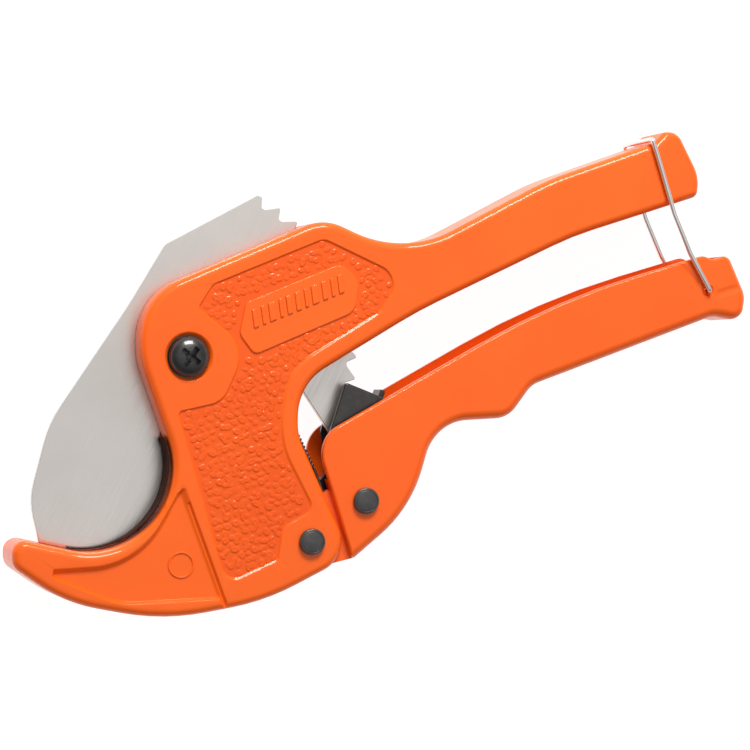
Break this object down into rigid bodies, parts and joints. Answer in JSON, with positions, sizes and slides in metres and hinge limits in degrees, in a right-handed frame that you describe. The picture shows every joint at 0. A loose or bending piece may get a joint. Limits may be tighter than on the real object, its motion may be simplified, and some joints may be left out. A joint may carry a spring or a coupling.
{
  "type": "ratchet pipe cutter",
  "caption": "Hand-held ratchet cutter for plastic pipe, with a curved blade that swings into a hooked jaw and a wire bail that latches its handles.",
  "frame": {"origin": "middle of the tool's outline on the surface that it lies on, rear side down", "axes": "+X along the tool towards the handle ends, +Y across it towards the upper handle, +Z out of its front face"},
  "size_m": [0.1946, 0.1238, 0.0224],
  "materials": {
    "frame_enamel": "glossy orange enamel over a casting, pebbled inside the sunk panel",
    "handle_enamel": "glossy orange enamel over pressed steel",
    "blade_steel": "finely brushed, with a ground cutting edge",
    "black_oxide": "satin black screw and rivet heads",
    "pawl_steel": "satin black hardened sheet",
    "spring_steel": "dark drawn spring wire",
    "bright_wire": "bright drawn wire",
    "zinc_plate": "zinc-plated turned parts"
  },
  "bodies": {
    "frame": {"frame": "frame_enamel", "pivot_screw": "black_oxide", "pivot_washer": "black_oxide", "pivot_barrel_nut": "zinc_plate", "blade_spring": "spring_steel", "handle_pivot_rivet": "black_oxide", "handle_pivot_bush": "zinc_plate", "handle_spring": "spring_steel", "hold_pawl_spacer": "zinc_plate", "hold_pawl_spring": "spring_steel", "spring_post": "pawl_steel"},
    "blade": {"blade": "blade_steel"},
    "lower_handle": {"lower_handle": "handle_enamel", "feed_pawl_rivet": "black_oxide", "feed_pawl_washer_front": "zinc_plate", "feed_pawl_washer_rear": "zinc_plate"},
    "hold_pawl": {"hold_pawl": "pawl_steel", "hold_spring_pin": "pawl_steel"},
    "feed_pawl": {"feed_pawl": "pawl_steel", "feed_pawl_spring": "spring_steel"},
    "bail": {"bail": "bright_wire"}
  },
  "joints": [
    {"name": "blade_pivot", "type": "hinge", "parent": "frame", "child": "blade", "pos_m": [-0.05333, 0.00268, 0.0107], "axis": [0, 0, -1], "range_deg": [0, 65]},
    {"name": "handle_pivot", "type": "hinge", "parent": "frame", "child": "lower_handle", "pos_m": [-0.02183, -0.04382, 0.0107], "axis": [0, 0, -1], "range_deg": [0, 38], "deforming": ["bail"]},
    {"name": "hold_pawl_pivot", "type": "hinge", "parent": "frame", "child": "hold_pawl", "pos_m": [-0.02183, -0.04382, 0.0107], "axis": [0, 0, -1], "range_deg": [0, 8], "stiffness_Nm_per_rad": 0.05, "springref_deg": -5.73},
    {"name": "feed_pawl_pivot", "type": "hinge", "parent": "lower_handle", "child": "feed_pawl", "pos_m": [-0.00763, -0.03372, 0.0107], "axis": [0, 0, -1], "range_deg": [0, 10], "stiffness_Nm_per_rad": 0.05, "springref_deg": -5.73},
    {"name": "bail_swing", "type": "hinge", "parent": "lower_handle", "child": "bail", "pos_m": [0.08617, 0.02018, 0.0107], "axis": [0, 0, -1], "range_deg": [0, 110]}
  ]
}
